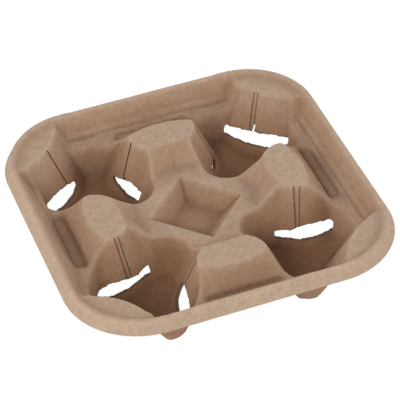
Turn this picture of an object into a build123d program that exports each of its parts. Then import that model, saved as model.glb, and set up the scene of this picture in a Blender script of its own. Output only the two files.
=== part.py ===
from build123d import *
from math import asin, atan2, cos, degrees, hypot, radians, sin, tan
import os

# A square tray of moulded paper pulp that carries four drinking cups.
# It is one skin: an upper form less a lower form, which lies one skin under it.
# Millimetres, +Z up. The origin is the middle of the tray, on the surface it stands on.
# Levels are heights above that surface. A lean is measured from the vertical, in degrees.

# The skin and the whole tray
skin = 2.0
height = 42.5
pocket_pitch = 100.0
rim_margin = 55.0

# Rim and skirt, from the outer lower edge of the skirt inwards
skirt_radius = 48.7
skirt_depth = 9.1
skirt_run = 4.4
crest_radius = 44.5
crest_width = 1.4
rim_wall_run = 9.7

# The recess inside the rim: a narrow ledge, then the ridges between the pockets
ledge_depth = 15.6
ledge_width = 1.25
ridge_depth = 16.5
ridge_width = 8.3

# The four corner pads
corner_pad_depth = 3.8
corner_pad_from_pocket = 12.0
corner_pad_lean = 32.0

# The four saddles, one at the middle of each side
saddle_depth = 3.1
saddle_from_pocket = 0.5
saddle_length = 15.75
saddle_bulge = 4.2
saddle_end_bow = 1.3
saddle_taper = 5.2
saddle_inner_run = 15.5
saddle_outer_run = 10.15
saddle_crease = 4.5
saddle_foot_bow = 0.3

# The groove behind each saddle
groove_width = 9.85
groove_top_depth = 13.6
groove_depth = 21.5
groove_from_pocket = 25.0
groove_lean = 12.0

# The centre pocket, a square turned by 45 degrees
centre_depth = 28.0
centre_lean = 49.0
centre_corner_radius = 2.5
centre_corner_growth = 0.3

# The cup pockets: drafted lobes, wrapped by one outline
inner_lobe_offset = 23.5
inner_lobe_floor_radius = 3.5
inner_lobe_lean = 29.0
rim_lobe_across = 4.0
rim_lobe_along = 17.3
rim_lobe_floor_radius = 12.2
rim_lobe_lean = 18.9
horn_across = 5.0
horn_along = 20.0
horn_floor_radius = 8.0
horn_lean = 20.0

# The flaps that stand into each pocket between its lobes
corner_flap_foot = 16.9
corner_flap_top = 34.05
corner_flap_round = 44.0
saddle_flap_foot = 16.8
saddle_flap_top = 30.5
saddle_flap_foot_round = 40.0
saddle_flap_top_round = 16.0
saddle_flap_angle = 117.0
strip_rise = 4.8
strip_run = 3.6

# The hole at the foot of each flap, and the slit above it
hole_above_strip = 0.6
hole_height = 8.2
hole_corner_radius = 3.2
corner_hole_half = 18.5
saddle_hole_half = 15.5
slit_width = 1.0
slit_under_pad = 0.8

# Helper lengths for making the forms: a margin past a cut, and how far the forms reach down
clear = 6.0
reach_down = 20.0

# Places that follow from the sizes above
floor_level = skin
pocket_centre = pocket_pitch / 2
skirt_half = pocket_centre + rim_margin
crest_half = skirt_half - skirt_run
ledge_half = crest_half - crest_width - rim_wall_run
skirt_level = height - skirt_depth
strip_top = floor_level + strip_rise
hole_low = strip_top + hole_above_strip
hole_high = hole_low + hole_height
saddle_inner = pocket_centre + saddle_from_pocket
saddle_outer = saddle_inner + saddle_length
saddle_half_width = pocket_centre - saddle_flap_top + saddle_end_bow
saddle_reach = pocket_centre - saddle_flap_foot
groove_outer = ledge_half - ledge_width
groove_half_length = pocket_centre - groove_from_pocket
turns = (0, 90, 180, 270)


def level(depth):
    """Height above the table of a place this far under the rim."""
    return height - depth


def stand_off(thickness, lean):
    """Sideways distance between two parallel walls of this lean."""
    return thickness / cos(radians(lean))


def between(start, end, share):
    """A value that runs from start, at share 0, to end, at share 1."""
    return start + (end - start) * share


def rounded_square(half, radius, z):
    """A square face with rounded corners, lying at this height."""
    return Pos(0, 0, z) * RectangleRounded(2 * half, 2 * half, radius)


def wrap(circles, z):
    """The outline round a ring of circles: an arc on each and a straight line to the next."""
    count = len(circles)
    normals = []
    for i, (x, y, radius) in enumerate(circles):
        next_x, next_y, next_radius = circles[(i + 1) % count]
        run = hypot(next_x - x, next_y - y)
        heading = degrees(atan2(next_y - y, next_x - x))
        normals.append(heading - 90 + degrees(asin((radius - next_radius) / run)))
    edges = []
    for i, (x, y, radius) in enumerate(circles):
        sweep_angle = (normals[i] - normals[i - 1]) % 360
        next_x, next_y, next_radius = circles[(i + 1) % count]
        arc = CenterArc((x, y), radius, normals[i - 1], sweep_angle)
        direction = Vector(cos(radians(normals[i])), sin(radians(normals[i])))
        line = Line(Vector(x, y) + direction * radius, Vector(next_x, next_y) + direction * next_radius)
        edges += [arc, line]
    return Pos(0, 0, z) * make_face(Curve() + edges)


def pocket_circles(z, drop):
    """The circles that a cup pocket's outline runs round at this height, counter-clockwise."""
    def lobe(across, along, floor_radius, lean):
        radius = floor_radius + (z - floor_level) * tan(radians(lean)) + stand_off(drop, lean)
        return pocket_centre + across, pocket_centre + along, radius
    inner = -inner_lobe_offset / 2 ** 0.5
    return [
        lobe(inner, inner, inner_lobe_floor_radius, inner_lobe_lean),
        lobe(rim_lobe_along, -rim_lobe_across, rim_lobe_floor_radius, rim_lobe_lean),
        lobe(horn_along, horn_across, horn_floor_radius, horn_lean),
        lobe(horn_across, horn_along, horn_floor_radius, horn_lean),
        lobe(-rim_lobe_across, rim_lobe_along, rim_lobe_floor_radius, rim_lobe_lean),
    ]


class Flap:
    """The sizes of one flap: where it stands, and how far its front is from the pocket's middle."""

    def __init__(self, angle, foot, top, top_depth, foot_round, top_round, hole_half):
        self.place = Pos(pocket_centre, pocket_centre, 0) * Rot(0, 0, angle)
        self.foot = foot
        self.foot_round = foot_round
        self.top_level = level(top_depth)
        self.slope = (top - foot) / (self.top_level - strip_top)
        self.round_slope = (top_round - foot_round) / (self.top_level - strip_top)
        self.hole_half = hole_half

    def front(self, z):
        return self.foot + (z - strip_top) * self.slope

    def radius(self, z):
        return self.foot_round + (z - strip_top) * self.round_slope


corner_flap = Flap(45, corner_flap_foot, corner_flap_top, corner_pad_depth,
                   corner_flap_round, corner_flap_round, corner_hole_half)
saddle_flaps = [
    Flap(45 + side * saddle_flap_angle, saddle_flap_foot, saddle_flap_top, saddle_depth,
         saddle_flap_foot_round, saddle_flap_top_round, saddle_hole_half)
    for side in (-1, 1)
]
flaps = [corner_flap] + saddle_flaps


def flap_block(flap, drop):
    """A round-fronted block that stands into a pocket: a low sloping strip, then the tall flap."""
    lean = degrees(atan2(flap.slope, 1))
    strip_lean = degrees(atan2(strip_run, strip_rise))
    back = stand_off(drop, lean)
    low = floor_level - drop
    low_front = flap.foot - (strip_top - low) * strip_run / strip_rise + stand_off(drop, strip_lean)
    above = height + clear
    sections = [
        (low, low_front, flap.foot_round - back),
        (strip_top, flap.foot + back, flap.foot_round - back),
        (above, flap.front(above) + back, flap.radius(above) - back),
    ]
    rings = [flap.place * Pos(front + radius, 0, z) * Circle(radius) for z, front, radius in sections]
    return loft(rings, ruled=True)


def cup_pocket(drop):
    """The room for one cup: the wrapped lobes less the three flaps."""
    low = floor_level - drop
    room = loft([wrap(pocket_circles(z, drop), z) for z in (low, height + clear)], ruled=True)
    for flap in flaps:
        room -= flap_block(flap, drop)
    return room


def flap_cut(flap):
    """The slit down the middle of a flap and the wide hole at its foot, as an upside-down T."""
    through = stand_off(skin, degrees(atan2(flap.slope, 1)))
    near = flap.foot - strip_run
    far = flap.front(hole_high) + 3 * through
    hole_middle = (hole_low + hole_high) / 2
    hole_face = Plane.YZ * RectangleRounded(2 * flap.hole_half, hole_height, hole_corner_radius)
    hole = Pos(near, 0, hole_middle) * extrude(hole_face, far - near)
    low, high = hole_middle, flap.top_level - slit_under_pad
    before, behind = skin, through + slit_width
    corners = [(flap.front(low) - before, low), (flap.front(low) + behind, low),
               (flap.front(high) + behind, high), (flap.front(high) - before, high)]
    slit_face = Plane.XZ * make_face(Polyline(*corners, close=True))
    slit = extrude(slit_face, slit_width / 2, both=True)
    return flap.place * (hole + slit)


def saddle(drop):
    """One saddle on the +Y side: a flat pad, a bowed outer slope and a creased inner face."""
    rise = ridge_depth - saddle_depth
    inner_lean = degrees(atan2(saddle_inner_run, rise))
    outer_lean = degrees(atan2(saddle_outer_run, rise))
    pad_radius = (saddle_half_width ** 2 + saddle_bulge ** 2) / (2 * saddle_bulge)
    pad_bow = pad_radius - (pad_radius ** 2 - saddle_reach ** 2) ** 0.5
    pad_apex = saddle_outer + saddle_bulge
    inner_half = saddle_half_width - saddle_taper

    def outline(share):
        inner = saddle_inner - saddle_inner_run * (1 - share) + stand_off(drop, inner_lean)
        middle = inner + saddle_crease * (1 - share)
        apex = pad_apex + saddle_outer_run * (1 - share) - stand_off(drop, outer_lean)
        end = apex - between(saddle_foot_bow, pad_bow, share)
        corners = [(saddle_reach, end), (saddle_reach, inner), (inner_half, inner), (0, middle),
                   (-inner_half, inner), (-saddle_reach, inner), (-saddle_reach, end)]
        sides = [Line(a, b) for a, b in zip(corners, corners[1:])]
        arc = ThreePointArc((-saddle_reach, end), (0, apex), (saddle_reach, end))
        z = between(level(ridge_depth), level(saddle_depth), share) - drop
        return Pos(0, 0, z) * make_face(Curve() + [arc] + sides)

    return loft([outline(0), outline(1)], ruled=True)


def corner_block(drop):
    """The block under one corner pad, at (+X, +Y). It goes a little below the ridges."""
    foot_depth = ridge_depth + ledge_width
    run = (foot_depth - corner_pad_depth) * tan(radians(corner_pad_lean))
    top_start = pocket_centre + corner_pad_from_pocket
    sections = []
    for depth, start in ((foot_depth, top_start - run), (corner_pad_depth, top_start)):
        start += stand_off(drop, corner_pad_lean)
        size = skirt_half + clear - start
        middle = start + size / 2
        sections.append(Pos(middle, middle, level(depth) - drop) * Rectangle(size, size))
    return loft(sections, ruled=True)


def recess(drop):
    """The room inside the rim, down to the ridges, less the saddles and the corner blocks."""
    slope = rim_wall_run / ledge_depth
    out = stand_off(drop, degrees(atan2(rim_wall_run, ledge_depth))) - drop * slope
    radius = crest_radius - crest_width
    bowl = loft([
        rounded_square(ledge_half + out, radius - rim_wall_run + out, level(ledge_depth) - drop),
        rounded_square(ledge_half + out + (ledge_depth + drop + clear) * slope,
                       radius - rim_wall_run + out + (ledge_depth + drop + clear) * slope, level(-clear)),
    ], ruled=True)
    step = rounded_square(ledge_half - ledge_width + drop, radius - rim_wall_run - ledge_width + drop,
                          level(ridge_depth) - drop)
    bowl += extrude(step, ridge_depth - ledge_depth + skin / 2)
    for turn in turns:
        bowl -= Rot(0, 0, turn) * saddle(drop)
        bowl -= Rot(0, 0, turn) * corner_block(drop)
    return bowl


def groove(drop):
    """The trough behind one saddle, on the +Y side."""
    slope = tan(radians(groove_lean))
    out = stand_off(drop, groove_lean)
    sections = []
    for depth in (groove_depth + drop, groove_top_depth - clear / 2):
        inner = groove_outer - groove_width + (depth - groove_top_depth) * slope - out
        outer = groove_outer - (depth - ledge_depth) * slope + out
        half_length = groove_half_length - (depth - groove_top_depth) * slope + out
        outline = Rectangle(2 * half_length, outer - inner)
        sections.append(Pos(0, (inner + outer) / 2, level(depth)) * outline)
    return loft(sections, ruled=True)


def centre_pocket(drop):
    """The square well in the middle, turned by 45 degrees, one ridge away from each cup pocket."""
    slope = tan(radians(centre_lean))
    lobe_radius = inner_lobe_floor_radius + (level(ridge_depth) - floor_level) * tan(radians(inner_lobe_lean))
    half = pocket_centre * 2 ** 0.5 - inner_lobe_offset - lobe_radius - ridge_width
    sections = []
    for depth in (centre_depth + drop, ridge_depth - clear / 2):
        rise = centre_depth + drop - depth
        outline = rounded_square(half + (ridge_depth - depth) * slope + stand_off(drop, centre_lean),
                                 centre_corner_radius + rise * centre_corner_growth, level(depth))
        sections.append(Rot(0, 0, 45) * outline)
    return loft(sections, ruled=True)


def form(drop, base_half):
    """Everything under the top face of the tray (drop 0) or under its lower face (drop skin)."""
    lean = degrees(atan2(skirt_run, skirt_depth))
    inset = stand_off(drop, lean)
    top_inset = inset - drop * skirt_run / skirt_depth
    body = loft([
        rounded_square(skirt_half - inset, skirt_radius - inset, skirt_level),
        rounded_square(crest_half - top_inset, crest_radius - top_inset, level(drop)),
    ], ruled=True)
    body += extrude(rounded_square(base_half, crest_radius, -reach_down), skirt_level + reach_down)
    body -= recess(drop)
    body -= centre_pocket(drop)
    for turn in turns:
        body -= Rot(0, 0, turn) * groove(drop)
        body -= Rot(0, 0, turn) * cup_pocket(drop)
    return body


upper = form(0, crest_half - 2 * crest_width)
lower = form(skin, skirt_half + 3 * clear)
tray = upper - lower
for turn in turns:
    for flap in flaps:
        tray -= Rot(0, 0, turn) * flap_cut(flap)

os.makedirs("parts", exist_ok=True)
export_step(tray, "parts/carrier_tray.step")
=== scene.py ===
import math
from collections import namedtuple

import bpy
import numpy as np
from mathutils import Matrix, Vector


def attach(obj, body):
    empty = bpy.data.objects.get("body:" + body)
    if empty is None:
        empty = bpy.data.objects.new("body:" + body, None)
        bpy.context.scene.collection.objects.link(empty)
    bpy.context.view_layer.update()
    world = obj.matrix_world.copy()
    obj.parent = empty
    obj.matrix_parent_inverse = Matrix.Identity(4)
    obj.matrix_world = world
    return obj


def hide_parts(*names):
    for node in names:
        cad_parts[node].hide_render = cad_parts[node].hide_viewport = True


# A moulded pulp tray for four drinking cups, its camera, floor and light.
# Lengths are millimetres until a mesh is made. Levels are heights over the table.
# Angles are degrees, and a lean is measured from the vertical.

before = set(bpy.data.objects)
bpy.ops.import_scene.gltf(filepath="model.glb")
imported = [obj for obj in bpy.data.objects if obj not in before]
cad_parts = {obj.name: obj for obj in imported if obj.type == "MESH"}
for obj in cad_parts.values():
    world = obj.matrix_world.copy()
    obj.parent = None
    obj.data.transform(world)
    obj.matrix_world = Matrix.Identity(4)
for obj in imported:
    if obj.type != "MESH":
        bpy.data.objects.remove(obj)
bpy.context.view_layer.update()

MM = 0.001
SKIN = 2.0
HEIGHT = 42.5
FLOOR_LEVEL = 2.0

# Rim and skirt: half widths and corner radii of rounded squares, then leans and levels. The crest's
# level is over the height, because its rounding takes it lower
SKIRT_HALF, SKIRT_RADIUS, SKIRT_LEAN = 105.0, 48.7, 25.8
SKIRT_LEVEL = HEIGHT - 9.1
CREST_HALF, CREST_RADIUS = 100.6, 44.5
CREST_LEVEL = HEIGHT + 0.75
LEDGE_HALF, LEDGE_RADIUS, RIM_LEAN = 89.5, 33.4, 31.9
LEDGE_LEVEL, LEDGE_WIDTH, LEDGE_RISE, LEDGE_RAMP = HEIGHT - 15.6, 1.25, 0.9, 1.2
RIDGE_LEVEL = HEIGHT - 16.5
# A small step on the rim's wall: how far outside the wall's foot, and how proud it is there. It fades
# out towards the corners of the tray
STEP_AT, STEP_PROUD, STEP_END, STEP_FADE = (0, 1.9, 3.1), (0, 0.65, 0), 58.0, 8.0

# Pads, seen from above the flattest places of the tray
CORNER_PAD_LEVEL = HEIGHT - 3.8
CORNER_PAD_START, CORNER_PAD_LEAN = 62.0, 32.0
SADDLE_LEVEL = HEIGHT - 3.1
SADDLE_FOOT = (35.0, 80.6)
SADDLE_TOP = (50.5, 70.45)
SADDLE_REACH = 33.0
# The crease of a saddle's inner face: its depth and how far it spreads. The bow of its outer face: how
# far the foot steps in at the ends, and how much longer the slope is there. Its ends: how far beyond the
# reach their feet stand, and their slope
SADDLE_CREASE, SADDLE_BOW, SADDLE_END = (4.5, 15.6), (0.3, 11.06), (4.0, 3.0)

# Grooves between the saddles and the rim: a place and level on the near and the far side and its lean,
# then how far the floor reaches to each side and the lean of the ends
GROOVE_NEAR, GROOVE_FAR = (78.4, HEIGHT - 13.6, 14.0), (88.1, HEIGHT - 15.6, 10.0)
GROOVE_END, GROOVE_LEVEL = (23.5, 50.0), HEIGHT - 18.7

# Square pocket in the middle: from its middle to a corner of its floor, and its walls
CENTRE_CORNER, CENTRE_LEAN, CENTRE_LEVEL = 17.6, 40.0, HEIGHT - 28

# Cup pockets: circles at the floor (x, y from the pocket's middle, radius, lean), then circles on the
# pocket's diagonal (place, radius) and their lean
POCKET = 50.0
LOBES = [(-16.6, -16.6, 3.5, 29.0), (17.3, -4.0, 12.2, 18.9), (20.0, 5.0, 8.0, 20.0),
         (5.0, 20.0, 8.0, 20.0), (-4.0, 17.3, 12.2, 18.9)]
MIDDLES, MIDDLE_LEAN = ((0.0, 12.5), (7.0, 12.0), (-9.0, 9.0)), 25
STRIP_TOP, STRIP_SLOPE = 6.8, 4.8 / 3.6

# A flap: its direction, how far its foot and its top stand from the pocket's middle, the level of its
# top, and the radius of its round front at the foot and at the top
Flap = namedtuple("Flap", "angle foot top level foot_round top_round")
CORNER_FLAP = Flap(45.0, 16.9, 34.05, CORNER_PAD_LEVEL, 44.0, 44.0)
SADDLE_FLAPS = [Flap(45.0 + turn, 16.8, 30.5, SADDLE_LEVEL, 40.0, 16.0) for turn in (-117.0, 117.0)]
FLAPS = [CORNER_FLAP] + SADDLE_FLAPS

# How widely each seam is rounded
ROUND = {
    "bed": 0.6, "rim": 2.4, "corner sides": 4, "corner top": 0.9, "corner foot": 3,
    "saddle sides": 2, "saddle top": 0.8, "saddle foot": 1.4,
    "groove sides": 1, "groove ends": 3, "groove floor": 1.2, "groove mouth": 0.9,
    "centre corners": 0.8, "centre floor": 1.0, "centre mouth": 0.6,
    "pocket floor": 1.8, "strip": 0.8, "flap foot": 1.6,
}
# A pocket's mouth is rounded by this much, and by so much more where it opens towards the rim, but not
# in the corners of the tray
MOUTH_ROUND, MOUTH_MORE, MOUTH_REACH, MOUTH_END, MOUTH_FADE = 1.0, 7, 12, 64, 8

# Torn holes and slits, for the flap in each corner and the two beside it: the hole's ends across the
# flap, its lower and its upper edge at five places evenly spaced between the ends, the lines of the slit
# above it (across at the hole, across at the pad), and a notch in its upper edge (across, top) or None
Tear = namedtuple("Tear", "left right lows highs lines notch")
HIDDEN = Tear(-15.5, 15.5, (8.2, 7.8, 7.6, 7.8, 8.4), (11.6, 13.6, 14.8, 13.9, 12.0), [(0.2, -0.2)], None)
TEARS = {
    "A": [Tear(-9.5, 25.5, (7.4, 6.6, 6.0, 6.0, 6.4), (11.0, 13.6, 15.2, 13.4, 11.0), [(0.1, -0.4)], None),
          Tear(-22.5, 8.0, (7.0, 6.6, 7.2, 8.8, 9.2), (12.8, 13.6, 15.2, 13.6, 12.0),
               [(-1.8, 0.2)], (-3.0, 16.8)),
          HIDDEN],
    "B": [Tear(-22.5, 23.0, (8.4, 7.4, 7.2, 7.2, 5.6), (14.2, 14.8, 15.0, 13.9, 11.8),
               [(4.2, 5.4), (1.2, 2.7)], (1.9, 19.0)),
          HIDDEN,
          Tear(0.0, 11.0, (9.0, 8.6, 8.6, 8.8, 9.2), (10.6, 11.4, 11.6, 11.4, 10.6), [(0.3, -0.2)], None)],
    "C": [HIDDEN, HIDDEN,
          Tear(-22.0, 15.0, (7.4, 6.6, 6.6, 7.2, 6.6), (14.0, 15.2, 15.0, 12.0, 11.6),
               [(1.7, 2.0), (-0.4, -1.5)], None)],
    "D": [HIDDEN,
          Tear(-16.0, 23.0, (6.2, 7.4, 6.8, 5.8, 5.8), (12.4, 10.8, 13.2, 13.0, 9.6),
               [(1.6, 1.5), (-1.3, -1.1)], None),
          Tear(-18.0, 9.0, (5.6, 5.2, 5.2, 5.6, 7.0), (14.0, 18.0, 19.0, 17.5, 13.0), [(0.6, 0.2)], None)],
}
# The corners of the tray: the signs of their places, and the turn of their flaps
CORNERS = {"A": (-1, 1, 90), "B": (1, 1, 0), "C": (1, -1, 270), "D": (-1, -1, 180)}

# A hole's crushed lip, whose faces get painted shade as a dark outline, then how far the lip's and the hole's
# edges are jittered
LIP, LIP_DEPTH, LIP_RAG, HOLE_RAG = 0.55, 0.5, 0.2, 0.36
# A line is scored into the flap, and the first is slit through: widths, depths, and how far each starts
# over the hole and stops under the pad
SCORE_WIDTH, SCORE_DEPTH, SCORE_ENDS = 0.9, 0.55, (0.3, 0.8)
SLIT_WIDTH, SLIT_DEPTH, SLIT_ENDS, SLIT_YAW = 0.5, 3.2, (-0.8, 1.0), 30.0
NOTCH_LOW, NOTCH_HALF, NOTCH_DEPTH, NOTCH_SLANT = 13.0, 0.8, 6.0, 0.6

# Pulp: its tone on open faces, then the painted shade tones for walls and for deep hollows, in linear light,
# and the scales of its marks per metre
PALE, WARM_SHADE, DEEP_SHADE = (0.45, 0.322, 0.228), (0.39, 0.243, 0.157), (0.29, 0.152, 0.081)
PATCHES, CLOUD, GRAIN, SPECKS = 42.0, 210.0, 950.0, 170.0
# How shut in the under face counts as, which paints shade into its colour
UNDER_RECESS = 0.4

# Studio light: the world's strength near the horizon and overhead, then the lamps
WORLD_LOW, WORLD_HIGH = 1.42, 0.2
FLOOR_WHITE = 0.95
LAMPS = [("key", (-1.1, -1.2, 1.3), 0.8, 16.0), ("left", (-1.6, 0.3, 1.0), 0.8, 5.5),
         ("right", (1.6, -0.5, 0.9), 0.8, 8.5), ("back", (0.9, 1.3, 0.9), 0.8, 7.0)]

# Camera: the point it looks at, how far from it, and its focal length in pixels of a 400 pixel frame
AZIMUTH, ELEVATION, ROLL = -18.775, 41.344, -2.832
TARGET, DISTANCE = (-2.01, -13.52, HEIGHT), 1315.05
FOCAL_PIXELS, FRAME_PIXELS = 2140.7, 400


# The shape of the tray


def tan(angle):
    return math.tan(math.radians(angle))


def rounded_square(x, y, half, radius):
    """Distance outside a rounded square: the distance to its inner square, less the corner radius."""
    dx, dy = np.abs(x) - (half - radius), np.abs(y) - (half - radius)
    return np.hypot(np.maximum(dx, 0), np.maximum(dy, 0)) + np.minimum(np.maximum(dx, dy), 0) - radius


def soft_max(a, b, blend):
    """The larger of two distances, rounded where they differ by less than the blend."""
    h = np.maximum(blend - np.abs(a - b), 0) / blend
    return np.maximum(a, b) + h * h * blend / 4


def soft_min(a, b, blend):
    """The smaller of two distances, rounded in the same way."""
    return -soft_max(-a, -b, blend)


class Under:
    """Everything under a height field: at a level z its distance is (z - height) over the slope's length."""

    def __init__(self, height, step):
        gy, gx = np.gradient(height, step)
        self.height = height
        self.share = 1 / np.sqrt(1 + np.minimum(gx * gx + gy * gy, 60.0))

    def __call__(self, z):
        return (z - self.height) * self.share


def pocket_walls(x, y):
    """Height of a cup pocket's outer wall: the lowest of the cones whose circles run from lobe to lobe.

    The lowest cone between two lobes is found from a row of them, then by fitting a parabola through
    three neighbours, each time closer together.
    """
    height = np.full(x.shape, 1e3)
    ring = LOBES + LOBES[:1]
    for (xa, ya, ra, la), (xb, yb, rb, lb) in zip(ring, ring[1:]):
        def cone(t):
            reach = np.hypot(x - xa - (xb - xa) * t, y - ya - (yb - ya) * t) - ra - (rb - ra) * t
            return reach / (tan(la) + (tan(lb) - tan(la)) * t)
        row = np.linspace(0, 1, 13)
        heights = np.stack([cone(t) for t in row])
        best, gap = row[heights.argmin(0)], row[1]
        for _ in range(3):
            gap /= 2
            left, middle, right = cone(best - gap), cone(best), cone(best + gap)
            bend = np.maximum(left + right - 2 * middle, 1e-9)
            best = np.clip(best + np.clip(gap * (left - right) / (2 * bend), -2 * gap, 2 * gap), 0, 1)
        height = np.minimum(height, np.minimum(heights.min(0), cone(best)))
    for at, radius in MIDDLES:
        height = np.minimum(height, (np.hypot(x - at, y - at) - radius) / tan(MIDDLE_LEAN))
    return FLOOR_LEVEL + height


def flap_fronts(x, y, flap):
    """Heights of a flap's tall front and of the sloping strip at its foot.

    The front is a cone-like block of round front: a point leaves it where the circle at that level,
    which shrinks and steps back as it rises, passes the point. That is the root of a quadratic.
    """
    c, s = math.cos(math.radians(flap.angle)), math.sin(math.radians(flap.angle))
    along, across = x * c + y * s, y * c - x * s
    rise = flap.level - STRIP_TOP
    slope, shrink = (flap.top - flap.foot) / rise, (flap.top_round - flap.foot_round) / rise
    e, m = along - flap.foot - flap.foot_round, slope + shrink
    a = m * m - shrink * shrink
    b = -2 * (e * m + flap.foot_round * shrink)
    rest = e * e + across * across - flap.foot_round * flap.foot_round
    inside = b * b - 4 * a * rest
    if abs(a) < 1e-9:
        front = -rest / b
    else:
        root = (-b + np.sqrt(np.maximum(inside, 0))) / (2 * a)
        front = np.where(inside < 0, 60.0, root)
    tall = STRIP_TOP + np.clip(front, -40, 60)
    bow = flap.foot_round - np.sqrt(np.maximum(flap.foot_round ** 2 - across ** 2, 0))
    strip = STRIP_TOP + (along - bow - flap.foot) * STRIP_SLOPE
    return tall, strip


def saddle_heights(across, along):
    """Heights of a saddle's creased inner face, its bowed outer face and its ends."""
    rise = SADDLE_LEVEL - RIDGE_LEVEL
    crease = SADDLE_CREASE[0] * np.maximum(1 - np.abs(across) / SADDLE_CREASE[1], 0)
    inner = RIDGE_LEVEL + rise * (along - SADDLE_FOOT[0] - crease) / (SADDLE_TOP[0] - SADDLE_FOOT[0] - crease)
    bow = (across / SADDLE_REACH) ** 2
    run = SADDLE_FOOT[1] - SADDLE_TOP[1] + SADDLE_BOW[1] * bow
    outer = RIDGE_LEVEL + rise * (SADDLE_FOOT[1] - SADDLE_BOW[0] * bow - along) / run
    ends = RIDGE_LEVEL + (SADDLE_REACH + SADDLE_END[0] - np.abs(across)) * SADDLE_END[1]
    return inner, outer, ends


def groove_heights(across, along):
    """Heights of a groove's near side, far side, ends and floor."""
    near = GROOVE_NEAR[1] + (GROOVE_NEAR[0] - along) / tan(GROOVE_NEAR[2])
    far = GROOVE_FAR[1] + (along - GROOVE_FAR[0]) / tan(GROOVE_FAR[2])
    ends = GROOVE_LEVEL + (np.abs(across) - GROOVE_END[0]) / tan(GROOVE_END[1])
    return near, far, ends, np.full(along.shape, GROOVE_LEVEL)


def tray_levels(x, y, step, depth):
    """Level of the tray's upper face (depth 0), or of the face that lies so far under it.

    Each part of the tray is the space under a height field. They are joined and cut with rounded
    seams, and the level is where the joined distance passes -depth, found by halving.
    """
    def flat(level):
        return Under(np.full(x.shape, level), step)

    skirt = Under(SKIRT_LEVEL - rounded_square(x, y, SKIRT_HALF, SKIRT_RADIUS) / tan(SKIRT_LEAN), step)
    rim = rounded_square(x, y, LEDGE_HALF, LEDGE_RADIUS)
    nearest = np.minimum(x, y)
    proud = np.interp(rim, STEP_AT, STEP_PROUD) * np.clip((STEP_END - nearest) / STEP_FADE, 0, 1)
    wall = Under(LEDGE_LEVEL + rim / tan(RIM_LEAN) + proud, step)
    ledge = rounded_square(x, y, LEDGE_HALF - LEDGE_WIDTH, LEDGE_RADIUS - LEDGE_WIDTH)
    ledge = np.clip((ledge + LEDGE_RAMP / 2) / LEDGE_RAMP, 0, 1)
    bed = Under(RIDGE_LEVEL + LEDGE_RISE * ledge, step)
    corner = [Under(CORNER_PAD_LEVEL + (u - CORNER_PAD_START) / tan(CORNER_PAD_LEAN), step) for u in (x, y)]
    saddles = [[Under(h, step) for h in saddle_heights(*pair)] for pair in ((x, y), (y, x))]
    grooves = [[Under(h, step) for h in groove_heights(*pair)] for pair in ((x, y), (y, x))]
    u, v = (x + y) / math.sqrt(2), (y - x) / math.sqrt(2)
    side = soft_max(np.abs(u), np.abs(v), ROUND["centre corners"]) - CENTRE_CORNER / math.sqrt(2)
    centre = Under(CENTRE_LEVEL + side / tan(CENTRE_LEAN), step)
    hull = Under(pocket_walls(x - POCKET, y - POCKET), step)
    fronts = [[Under(h, step) for h in flap_fronts(x - POCKET, y - POCKET, flap)] for flap in FLAPS]
    crest, corner_pad, saddle_pad = flat(CREST_LEVEL), flat(CORNER_PAD_LEVEL), flat(SADDLE_LEVEL)
    centre_floor, floor = flat(CENTRE_LEVEL), flat(FLOOR_LEVEL)
    near_rim = np.clip(1 + rim / MOUTH_REACH, 0, 1)
    mouth = MOUTH_ROUND + MOUTH_MORE * near_rim * np.clip((MOUTH_END - nearest) / MOUTH_FADE, 0, 1)

    def distance(z):
        bowl = soft_min(wall(z), bed(z), ROUND["bed"])
        block = soft_max(corner[0](z), corner[1](z), ROUND["corner sides"])
        block = soft_max(block, corner_pad(z), ROUND["corner top"])
        bowl = soft_min(bowl, block, ROUND["corner foot"])
        for inner, outer, ends in saddles:
            lump = soft_max(inner(z), outer(z), ROUND["saddle sides"])
            lump = soft_max(lump, saddle_pad(z), ROUND["saddle top"])
            lump = soft_max(lump, ends(z), ROUND["saddle sides"])
            bowl = soft_min(bowl, lump, ROUND["saddle foot"])
        body = soft_max(soft_max(skirt(z), crest(z), ROUND["rim"]), bowl, ROUND["rim"])
        for near, far, ends, bottom in grooves:
            trough = soft_min(soft_min(near(z), far(z), ROUND["groove sides"]), ends(z), ROUND["groove ends"])
            trough = soft_min(trough, bottom(z), ROUND["groove floor"])
            body = soft_max(body, trough, ROUND["groove mouth"])
        well = soft_min(centre(z), centre_floor(z), ROUND["centre floor"])
        body = soft_max(body, well, ROUND["centre mouth"])
        room = soft_min(hull(z), floor(z), ROUND["pocket floor"])
        for tall, strip in fronts:
            front = soft_min(tall(z), strip(z), ROUND["strip"])
            room = soft_min(room, front, ROUND["flap foot"])
        return soft_max(body, room, mouth)

    low, high = np.full(x.shape, -60.0), np.full(x.shape, 60.0)
    for _ in range(22):
        middle = (low + high) / 2
        inside = distance(middle) < -depth
        low, high = np.where(inside, middle, low), np.where(inside, high, middle)
    return (low + high) / 2


def waves(x, y):
    """Slow unevenness of a dried moulding: a few long sine waves, at most a few tenths of a millimetre."""
    return (0.10 * np.sin(x / 23 + 1.3) * np.sin(y / 31 + 0.4) + 0.08 * np.sin((x + 0.6 * y) / 13 + 2.0)
            + 0.06 * np.sin((y - 0.4 * x) / 9.0 + 0.7))


# Tables that are read at any place of the tray


def reader(table, first, step):
    """Returns a function that reads one quarter's table between its points, at any place of the tray."""
    last = len(table) - 1.001

    def read(x, y):
        u, v = np.clip((np.abs(x) - first) / step, 0, last), np.clip((np.abs(y) - first) / step, 0, last)
        i, j = u.astype(int), v.astype(int)
        s, t = u - i, v - j
        near = table[j, i] * (1 - s) + table[j, i + 1] * s
        far = table[j + 1, i] * (1 - s) + table[j + 1, i + 1] * s
        return near * (1 - t) + far * t

    return read


def sampler(depth, reach, step=0.25, margin=4):
    """A reader of the level of the face at this depth, worked out on a fine raster."""
    axis = np.arange(-margin, reach + 3 * step, step)
    x, y = np.meshgrid(axis, axis)
    return reader(tray_levels(np.abs(x), np.abs(y), step, depth), axis[0], step)


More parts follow.
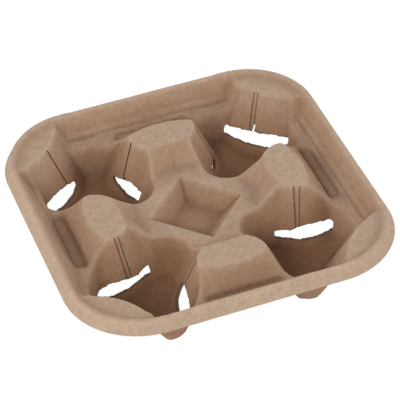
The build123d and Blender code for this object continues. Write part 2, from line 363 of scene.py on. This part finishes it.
def recess(read, reach, step=0.8):
    """A reader of how shut in each place of the upper face is: 0 in the open, towards 1 in a deep hollow.

    In each of 16 directions the steepest rise of the face is found. The recess is the mean of the sines
    of those slopes, less in the grooves and 0 on the skirt, which faces outwards. The pulp's colour
    turns it into painted shade.
    """
    axis = np.arange(0, reach, step)
    x, y = np.meshgrid(axis, axis)
    level = read(x, y)
    shut = np.zeros(x.shape)
    for turn in np.arange(16) * math.pi / 8 + 0.2:
        rise = np.zeros(x.shape)
        for run in (2.6, 4, 6, 9, 13, 18, 24, 32, 42):
            rise = np.maximum(rise, (read(x + run * math.cos(turn), y + run * math.sin(turn)) - level) / run)
        shut += rise / np.hypot(1, rise)
    inwards = -rounded_square(x, y, CREST_HALF, CREST_RADIUS)
    share = np.interp(inwards, (0, 3, 7, 12, 18, 28), (0, 0.9, 0.9, 0.58, 0.62, 1))
    return reader(shut / 16 * share, 0, step)


def crest(read, reach, step=0.4, ring=1.6):
    """A reader of how far each place stands over the mean of twelve places round it, in millimetres."""
    axis = np.arange(0, reach, step)
    x, y = np.meshgrid(axis, axis)
    turns = np.arange(12) * math.pi / 6
    around = [read(x + ring * math.cos(turn), y + ring * math.sin(turn)) for turn in turns]
    return reader(read(x, y) - sum(around) / len(around), 0, step)


def even_grid(read, reach, cells, rounds, ease=0.7):
    """A plan grid of one quarter whose lines draw together on steep places.

    Each round moves every point towards the mean of its four neighbours in space, along the surface
    only, so that the grid's sides get about as long on walls as on flats.
    """
    line = np.linspace(0, reach, cells + 1)
    x, y = np.meshgrid(line, line)
    for _ in range(rounds):
        z = read(x, y)
        p = np.stack([x, y, z])
        wide = np.pad(p, ((0, 0), (1, 1), (1, 1)), mode="reflect")
        wide[0, :, 0] *= -1
        wide[1, 0, :] *= -1
        wide[0, :, -1] = 2 * reach - wide[0, :, -1]
        wide[1, -1, :] = 2 * reach - wide[1, -1, :]
        mean = (wide[:, 1:-1, :-2] + wide[:, 1:-1, 2:] + wide[:, :-2, 1:-1] + wide[:, 2:, 1:-1]) / 4
        move = mean - p
        tx = np.stack([wide[k, 1:-1, 2:] - wide[k, 1:-1, :-2] for k in range(3)])
        ty = np.stack([wide[k, 2:, 1:-1] - wide[k, :-2, 1:-1] for k in range(3)])
        normal = np.cross(tx, ty, axis=0)
        normal /= np.linalg.norm(normal, axis=0) + 1e-9
        move -= (move * normal).sum(0) * normal
        x = x + ease * move[0]
        y = y + ease * move[1]
        x[:, 0], y[0, :] = 0, 0
        x[:, -1], y[-1, :] = reach, reach
    return x, y


# Meshes


def mesh_object(name, vertices, faces, torn=0.0):
    """A new object of this mesh, given in millimetres and stored in metres.

    Its faces carry how torn they are, which the pulp's colour turns into painted shade: 0 for pressed pulp
    and 1 for a cutter's faces.
    """
    mesh = bpy.data.meshes.new(name)
    mesh.from_pydata((np.asarray(vertices, float) * MM).tolist(), [], faces)
    mesh.attributes.new("torn", "FLOAT", "FACE").data.foreach_set("value", np.full(len(faces), torn))
    obj = bpy.data.objects.new(name, mesh)
    bpy.context.scene.collection.objects.link(obj)
    return obj


def grid_faces(rows, columns):
    """Quads of a grid whose points are numbered row by row, facing up for a grid that runs in +X then +Y."""
    j, i = np.meshgrid(np.arange(rows - 1), np.arange(columns - 1), indexing="ij")
    a = (j * columns + i).ravel()
    return np.stack([a, a + 1, a + columns + 1, a + columns], 1)


def four_quarters(quarter_x, quarter_y):
    """Mirrors a quarter's plan grid into the whole square, sharing the middle lines."""
    x = np.concatenate([-quarter_x[:, :0:-1], quarter_x], 1)
    y = np.concatenate([quarter_y[:, :0:-1], quarter_y], 1)
    return np.concatenate([x[:0:-1], x]), np.concatenate([-y[:0:-1], y])


def block_under(name, read, reach, cells, rounds, base, lowest=-math.inf):
    """A closed block: the read level with its waves on top, straight walls and a flat base.

    Its top is nowhere under the lowest level.
    """
    x, y = four_quarters(*even_grid(read, reach, cells, rounds))
    z = np.maximum(read(x, y) + waves(x, y), lowest)
    rows, columns = x.shape
    top = np.stack([x, y, z], -1).reshape(-1, 3)
    faces = grid_faces(rows, columns)
    number = np.arange(rows * columns).reshape(rows, columns)
    rim = np.concatenate([number[0], number[1:, -1], number[-1, -2::-1], number[-2:0:-1, 0]])
    foot = top[rim].copy()
    foot[:, 2] = base
    low = len(top) + np.arange(len(rim))
    walls = np.stack([rim, low, np.roll(low, -1), np.roll(rim, -1)], 1)
    faces = faces.tolist() + walls.tolist() + [low[::-1].tolist()]
    return mesh_object(name, np.concatenate([top, foot]), faces)


def ring_plate(name, inside, outer, low, high, count=480):
    """A flat ring all round the tray under its skirt.

    Its opening is the skirt's rounded square drawn in by so much, found along each ray by stepping
    back by the distance outside it.
    """
    angle = np.linspace(0, 2 * math.pi, count, endpoint=False)
    c, s = np.cos(angle), np.sin(angle)
    reach = np.full(count, 10.0)
    for _ in range(60):
        reach = reach - rounded_square(reach * c, reach * s, SKIRT_HALF - inside, SKIRT_RADIUS - inside)
    loops = [(reach, low), (reach, high), (np.full(count, outer), high), (np.full(count, outer), low)]
    points = np.concatenate([np.stack([r * c, r * s, np.full(count, z)], 1) for r, z in loops])
    k, n = np.arange(count), np.roll(np.arange(count), -1)
    faces = [np.stack([a * count + k, b * count + k, b * count + n, a * count + n], 1)
             for a, b in ((0, 1), (1, 2), (2, 3), (3, 0))]
    return mesh_object(name, points, np.concatenate(faces).tolist())


def prism(name, near, far, place):
    """A closed prism between two loops of (along, across, level), set at a flap.

    The place is the middle of the flap's pocket and the flap's turn. Each end is closed by a strip of
    faces between the loop's first half and its second.
    """
    x, y, turn = place
    c, s = math.cos(math.radians(turn)), math.sin(math.radians(turn))
    along, across, level = np.concatenate([near, far]).T
    points = np.stack([x + along * c - across * s, y + along * s + across * c, level], 1)
    count = len(near)
    k, n = np.arange(count), np.roll(np.arange(count), -1)
    sides = np.stack([k, n, count + n, count + k], 1)
    m = np.arange(1, count // 2 - 1)
    ends = [[0, 1, count - 1], [count // 2 - 1, count // 2, count // 2 + 1]]
    ends += np.stack([m, m + 1, count - m - 1, count - m], 1).tolist()
    caps = [end[::-1] for end in ends] + [[count + p for p in end] for end in ends]
    return mesh_object(name, points, sides.tolist() + caps, torn=1.0)


def cut(obj, cutter):
    """Takes the cutter away from the object, and removes the cutter."""
    step = obj.modifiers.new("cut", "BOOLEAN")
    step.operation = "DIFFERENCE"
    step.solver = "MANIFOLD"
    step.object = cutter
    shaped = bpy.data.meshes.new_from_object(obj.evaluated_get(bpy.context.evaluated_depsgraph_get()))
    obj.modifiers.clear()
    obj.data = shaped
    bpy.data.objects.remove(cutter)


# The torn holes and slits


def ragged_hole(tear, grow, rag, rng):
    """Outline (across, level) of a torn hole, grown by so much all round.

    It is a blunt ring between the tear's ends, as high at each place as the tear says there, whose
    edge is jittered by a few waves of random phase.
    """
    turn = np.linspace(0, 2 * math.pi, 260, endpoint=False)
    c, s = np.cos(turn), np.sin(turn)
    middle, half = (tear.left + tear.right) / 2, (tear.right - tear.left) / 2
    across = middle + (half + grow) * np.sign(c) * np.abs(c) ** 0.75
    stations = np.linspace(tear.left, tear.right, len(tear.lows))
    low, high = np.interp(across, stations, tear.lows) - grow, np.interp(across, stations, tear.highs) + grow
    level = (low + high) / 2 + (high - low) / 2 * np.sign(s) * np.abs(s) ** 0.35
    noise = np.zeros(len(turn))
    for wave in (4, 7, 12, 19, 31, 47, 66):
        noise += np.sin(wave * turn + rng.uniform(0, 6.28)) * rng.uniform(0.5, 1.0) / wave ** 0.3
    return across + 0.5 * rag * noise * c, level + rag * noise * np.abs(s) ** 0.5


def front_along(flap, across, level):
    """How far from the pocket's middle a flap's front stands at this level and place across it."""
    share = (level - STRIP_TOP) / (flap.level - STRIP_TOP)
    bow = flap.foot_round + (flap.top_round - flap.foot_round) * share
    return flap.foot + (flap.top - flap.foot) * share + bow - np.sqrt(bow ** 2 - across ** 2)


def hole_cutters(flap, tear, place, rng):
    """Prisms square to a flap's front: a shallow one for the crushed lip, then the hole itself."""
    fall = (flap.top - flap.foot) / (flap.level - STRIP_TOP)
    for grow, rag, ahead, behind in ((LIP, LIP_RAG, 1.5, LIP_DEPTH), (0.0, HOLE_RAG, 4.0, 6.0)):
        across, level = ragged_hole(tear, grow, rag, rng)
        front = front_along(flap, across, level)
        yield prism("hole", np.stack([front - ahead, across, level + ahead * fall], 1),
                    np.stack([front + behind, across, level - behind * fall], 1), place)


def line_cutter(flap, line, low, high, half, depth, yaw, place, ahead=0.8):
    """A narrow prism down a flap's front. A yaw turns it, so that no light passes straight through."""
    across = np.array([line[0] - half, line[0] + half, line[1] + half, line[1] - half])
    level = np.array([low, low, high, high])
    front = front_along(flap, across, level)
    slip = (depth + ahead) * tan(yaw)
    return prism("slit", np.stack([front - ahead, across, level], 1),
                 np.stack([front + depth, across + slip, level], 1), place)


def cut_flap(tray, flap, tear, place, rng):
    """Tears a flap's hole, scores its lines, slits the first one through and cuts its notch."""
    for cutter in hole_cutters(flap, tear, place, rng):
        cut(tray, cutter)
    yaw = -SLIT_YAW if flap is CORNER_FLAP else SLIT_YAW
    for number, line in enumerate(tear.lines):
        foot = np.interp(line[0], np.linspace(tear.left, tear.right, len(tear.highs)), tear.highs)
        low, high = foot + SCORE_ENDS[0], flap.level - SCORE_ENDS[1]
        cut(tray, line_cutter(flap, line, low, high, SCORE_WIDTH / 2, SCORE_DEPTH, 0.0, place))
        if number == 0:
            low, high = foot + SLIT_ENDS[0], flap.level - SLIT_ENDS[1]
            cut(tray, line_cutter(flap, line, low, high, SLIT_WIDTH / 2, SLIT_DEPTH, yaw, place))
    if tear.notch:
        across, top = tear.notch
        line = (across, across - NOTCH_SLANT)
        cut(tray, line_cutter(flap, line, NOTCH_LOW, top, NOTCH_HALF, NOTCH_DEPTH, 0.0, place))


def mark_points(obj, upper, name, read, below):
    """Stores a reader's value on each point of the upper face, and a fixed one on the rest."""
    flat = np.empty(len(obj.data.vertices) * 3)
    obj.data.vertices.foreach_get("co", flat)
    x, y, z = flat.reshape(-1, 3).T / MM
    value = np.where(z > upper(x, y) - SKIN / 2, read(x, y), below)
    obj.data.attributes.new(name, "FLOAT", "POINT").data.foreach_set("value", value)


def pulp_tray():
    """The tray: the block under its upper face, less the one under its lower face, trimmed and torn."""
    reach = 107
    upper, lower = sampler(0, reach), sampler(SKIN, reach)
    tray = block_under("pulp_tray", upper, reach=106.5, cells=116, rounds=400, base=-30.0)
    cut(tray, block_under("under_face", lower, reach=112.0, cells=84, rounds=300, base=-40.0, lowest=0.0))
    cut(tray, ring_plate("trim", inside=3.2, outer=190.0, low=-60.0, high=SKIRT_LEVEL))
    rng = np.random.default_rng(7)
    for corner, (side_x, side_y, turn) in CORNERS.items():
        for flap, tear in zip(FLAPS, TEARS[corner]):
            cut_flap(tray, flap, tear, (side_x * POCKET, side_y * POCKET, flap.angle + turn), rng)
    tray.data.shade_smooth()
    tray.data.set_sharp_from_angle(angle=math.radians(42))
    # The recess paints shade into the pulp's colour: warmer and deeper tones where a place is shut in
    mark_points(tray, upper, "recess", recess(upper, reach), UNDER_RECESS)
    # The crest paints shade into creases and a highlight, partly paler pressed pulp, onto crests
    mark_points(tray, upper, "crest", crest(upper, reach), 0.0)
    return tray


# Looks


class Tree:
    """Short ways to add linked nodes to a material's or a world's tree."""

    def __init__(self, owner):
        owner.use_nodes = True
        self.nodes, self.links = owner.node_tree.nodes, owner.node_tree.links

    def link(self, source, socket):
        """Fills a socket with an output's link, or with a plain value."""
        if isinstance(source, bpy.types.NodeSocket):
            self.links.new(source, socket)
        else:
            socket.default_value = source

    def add(self, kind, sockets, output=0, **settings):
        """Adds a node, sets its fields, fills its sockets with values or links, and gives back one output."""
        node = self.nodes.new("ShaderNode" + kind)
        for field, value in settings.items():
            setattr(node, field, value)
        for socket, source in sockets.items():
            self.link(source, node.inputs[socket])
        return node.outputs[output]

    def attribute(self, name):
        """The value that the mesh carries under this name."""
        return self.add("Attribute", {}, output=2, attribute_name=name)

    def sum(self, a, b):
        return self.add("Math", {0: a, 1: b}, operation="ADD")

    def product(self, a, b):
        return self.add("Math", {0: a, 1: b}, operation="MULTIPLY")

    def stretch(self, value, low, high, to_low, to_high):
        """A value's place between two limits, laid out between two others and held there."""
        sockets = {"Value": value, "From Min": low, "From Max": high, "To Min": to_low, "To Max": to_high}
        return self.add("MapRange", sockets)

    def blend(self, share, a, b):
        """Colour a where the share is 0, and b where it is 1."""
        return self.add("Mix", {0: share, 6: a, 7: b}, output=2, data_type="RGBA")


def pulp_material():
    """Grey-brown moulded fibre: cloudy and grainy, with dark specks, with painted shade in hollows, creases
    and on cut faces, and a painted highlight on crests.
    """
    material = bpy.data.materials.new("moulded pulp")
    tree = Tree(material)
    shader = tree.nodes["Principled BSDF"]
    place = tree.nodes.new("ShaderNodeTexCoord").outputs["Object"]

    def noise(scale, detail):
        return tree.add("TexNoise", {"Vector": place, "Scale": scale, "Detail": detail, "Roughness": 0.6})

    patches, cloud, grain = noise(PATCHES, 3.0), noise(CLOUD, 4.0), noise(GRAIN, 2.0)
    shut, torn, edge = tree.attribute("recess"), tree.attribute("torn"), tree.attribute("crest")

    # Painted shade: the tone goes from pale to a warm shaded tone on walls, a little unevenly, and to a deep
    # shaded tone in hollows, by how shut in each place is
    wall_shade = tree.sum(tree.stretch(shut, 0.05, 0.35, 0.0, 1.0), tree.stretch(patches, 0.3, 0.7, -0.2, 0.2))
    tone = tree.blend(tree.stretch(wall_shade, 0.0, 1.0, 0.0, 1.0), (*PALE, 1), (*WARM_SHADE, 1))
    tone = tree.blend(tree.stretch(shut, 0.31, 0.64, 0.0, 1.0), tone, (*DEEP_SHADE, 1))

    # The tone is made lighter and darker by the fibres, then darker by specks. Painted shade darkens cut
    # faces and sharp creases, and a painted highlight lightens crests
    light = tree.sum(tree.stretch(cloud, 0.3, 0.7, 0.92, 1.08), tree.stretch(grain, 0.3, 0.7, -0.14, 0.14))
    cells = tree.nodes.new("ShaderNodeTexVoronoi")
    tree.link(place, cells.inputs["Vector"])
    tree.link(SPECKS, cells.inputs["Scale"])
    draw = tree.add("SeparateColor", {0: cells.outputs["Color"]})
    chosen = tree.add("Math", {0: draw, 1: 0.55}, operation="GREATER_THAN")
    speck = tree.product(tree.stretch(cells.outputs["Distance"], 0.05, 0.13, 1.0, 0.0), chosen)
    light = tree.product(light, tree.stretch(speck, 0.0, 1.0, 1.0, 0.72))
    # Painted shade on the cutters' faces: the crushed lips, hole walls, slits and scores
    light = tree.product(light, tree.stretch(torn, 0.0, 1.0, 1.0, 0.6))
    # Painted shade in sharp creases, then a painted highlight on crests, partly the paler pressed pulp of
    # edges
    light = tree.product(light, tree.stretch(edge, -0.6, 0.0, 0.75, 1.0))
    light = tree.product(light, tree.stretch(edge, 0.0, 0.5, 1.0, 1.07))
    colour = tree.add("VectorMath", {0: tone, "Scale": light}, operation="SCALE")
    tree.link(colour, shader.inputs["Base Color"])

    tree.link(0.92, shader.inputs["Roughness"])
    tree.link(0.25, shader.inputs["Specular IOR Level"])
    height = tree.sum(tree.product(cloud, 0.7), tree.product(grain, 0.3))
    bump = tree.add("Bump", {"Strength": 0.6, "Distance": 0.0006, "Height": height})
    tree.link(bump, shader.inputs["Normal"])
    return material


# The studio


def pale_floor(half=6):
    """A wide pale floor that the camera sees as white, and that keeps the tray's shadow."""
    mesh = bpy.data.meshes.new("floor")
    corners = [(-half, -half, 0), (half, -half, 0), (half, half, 0), (-half, half, 0)]
    mesh.from_pydata(corners, [], [(0, 1, 2, 3)])
    floor = bpy.data.objects.new("floor", mesh)
    bpy.context.scene.collection.objects.link(floor)
    material = bpy.data.materials.new("pale floor")
    tree = Tree(material)
    shader = tree.nodes["Principled BSDF"]
    tree.link((0.88, 0.88, 0.88, 1), shader.inputs["Base Color"])
    tree.link(0.9, shader.inputs["Roughness"])
    seen = tree.nodes.new("ShaderNodeLightPath").outputs["Is Camera Ray"]
    white = tree.add("Emission", {"Color": (1, 1, 1, 1), "Strength": 1.03})
    mixed = tree.add("MixShader", {0: tree.product(seen, FLOOR_WHITE), 1: shader.outputs[0], 2: white})
    tree.link(mixed, tree.nodes["Material Output"].inputs["Surface"])
    mesh.materials.append(material)


def soft_light():
    """A white world that is brightest near the horizon, and four round lamps turned to the tray."""
    world = bpy.data.worlds.new("studio")
    bpy.context.scene.world = world
    tree = Tree(world)
    sky = tree.nodes["Background"]
    direction = tree.nodes.new("ShaderNodeTexCoord").outputs["Generated"]
    up = tree.add("SeparateXYZ", {0: direction}, output=2)
    tree.link(tree.stretch(up, 0.05, 0.75, WORLD_LOW, WORLD_HIGH), sky.inputs["Strength"])
    tree.link((1, 1, 1, 1), sky.inputs["Color"])
    for name, place, size, power in LAMPS:
        data = bpy.data.lights.new(name, "AREA")
        data.shape, data.size, data.energy = "DISK", size, power
        lamp = bpy.data.objects.new(name, data)
        bpy.context.scene.collection.objects.link(lamp)
        lamp.location = place
        lamp.rotation_euler = (Vector((0, 0, 0.02)) - Vector(place)).to_track_quat("-Z", "Y").to_euler()


def camera():
    """A long lens at the photograph's angle, with a small roll."""
    a, e, roll = math.radians(AZIMUTH), math.radians(ELEVATION), math.radians(ROLL)
    back = Vector((math.sin(a) * math.cos(e), -math.cos(a) * math.cos(e), math.sin(e)))
    right = Vector((math.cos(a), math.sin(a), 0))
    up = back.cross(right)
    right, up = right * math.cos(roll) + up * math.sin(roll), up * math.cos(roll) - right * math.sin(roll)
    data = bpy.data.cameras.new("camera")
    data.sensor_width = 36
    data.lens = FOCAL_PIXELS * data.sensor_width / FRAME_PIXELS
    data.clip_end = 50
    view = bpy.data.objects.new("camera", data)
    bpy.context.scene.collection.objects.link(view)
    turn = Matrix((right, up, back)).transposed().to_4x4()
    view.matrix_world = Matrix.Translation(Vector(TARGET) * MM + back * DISTANCE * MM) @ turn
    bpy.context.scene.camera = view


tray = pulp_tray()
tray.data.materials.clear()
tray.data.materials.append(pulp_material())
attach(tray, "root")
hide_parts("carrier_tray")

pale_floor()
soft_light()
camera()
bpy.context.scene.view_settings.view_transform = "Standard"
